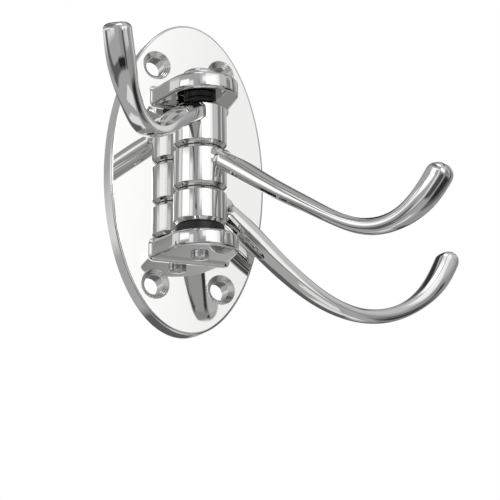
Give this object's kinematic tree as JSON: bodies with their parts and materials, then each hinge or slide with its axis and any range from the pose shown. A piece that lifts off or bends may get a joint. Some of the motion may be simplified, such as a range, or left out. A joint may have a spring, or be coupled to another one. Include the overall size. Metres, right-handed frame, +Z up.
{
  "type": "folding wall hook",
  "caption": "Oval wall plate with a riveted upright pin between two cast lugs, on which separate curved hook arms swing to the side and fold back along the wall.",
  "frame": {"origin": "centre of the wall plate's flat back, on the wall", "axes": "+Z up, +Y into the wall, -Y out of the wall towards the user, +X to the right seen from the front"},
  "size_m": [0.1544, 0.0945, 0.104],
  "materials": {
    "plate_chrome": "polished",
    "pin_chrome": "polished",
    "hook_chrome": "polished",
    "spacer_black": "satin"
  },
  "bodies": {
    "base": {"wall_plate": "plate_chrome", "pivot_pin": "pin_chrome", "upper_spacer": "spacer_black", "lower_spacer": "spacer_black"},
    "top_arm": {"top_hook": "hook_chrome"},
    "middle_arm": {"middle_hook": "hook_chrome"},
    "lower_arm": {"lower_hook": "hook_chrome"}
  },
  "joints": [
    {"name": "top_arm_swing", "type": "hinge", "parent": "base", "child": "top_arm", "pos_m": [0, -0.0158, 0.01351], "axis": [0, 0, 1], "range_deg": [-55.7, 132.3]},
    {"name": "middle_arm_swing", "type": "hinge", "parent": "base", "child": "middle_arm", "pos_m": [0, -0.0158, -0.0006], "axis": [0, 0, 1], "range_deg": [-124, 64]},
    {"name": "lower_arm_swing", "type": "hinge", "parent": "base", "child": "lower_arm", "pos_m": [0, -0.0158, -0.01326], "axis": [0, 0, 1], "range_deg": [-188, 0]}
  ]
}
